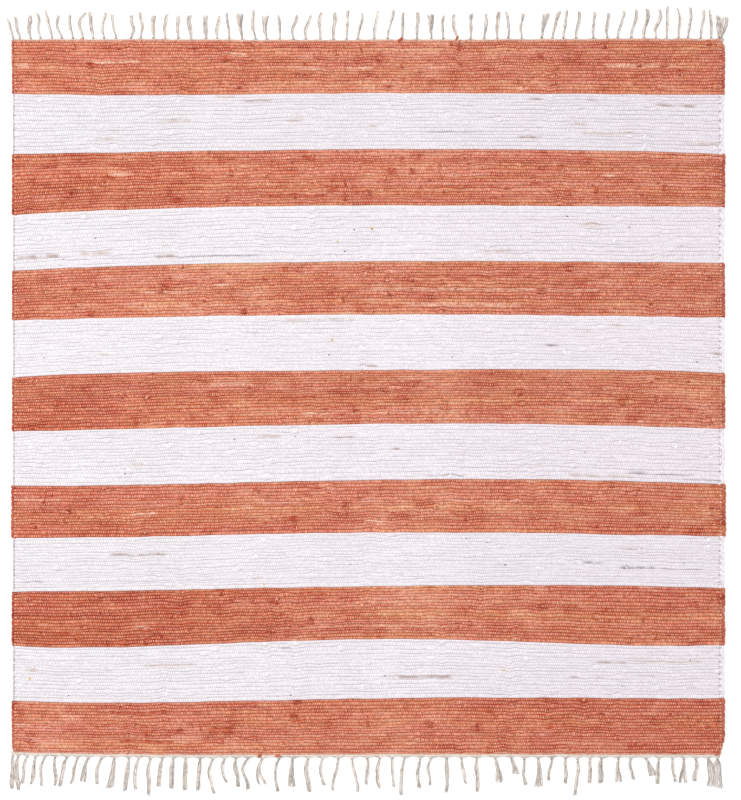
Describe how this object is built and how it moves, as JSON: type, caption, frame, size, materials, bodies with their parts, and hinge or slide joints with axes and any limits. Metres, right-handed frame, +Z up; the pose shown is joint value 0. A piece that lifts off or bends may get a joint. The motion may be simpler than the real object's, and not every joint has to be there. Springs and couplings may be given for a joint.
{
  "type": "rag rug",
  "caption": "Flat square rag rug, hand-woven with ribs across it in wide orange and white stripes, with knotted cotton fringe along two opposite edges.",
  "frame": {"origin": "middle of the cloth's flat underside", "axes": "+X across the rug along its ribs, +Y along its length to the far fringe, +Z up out of its face"},
  "size_m": [1.8622, 2.0394, 0.007],
  "materials": {
    "rag_weft": "matte woven cotton rag, orange and white stripes",
    "cotton_warp": "matte natural cotton yarn"
  },
  "bodies": {
    "root": {"woven_cloth": "rag_weft", "far_fringe": "cotton_warp", "near_fringe": "cotton_warp"}
  },
  "joints": []
}
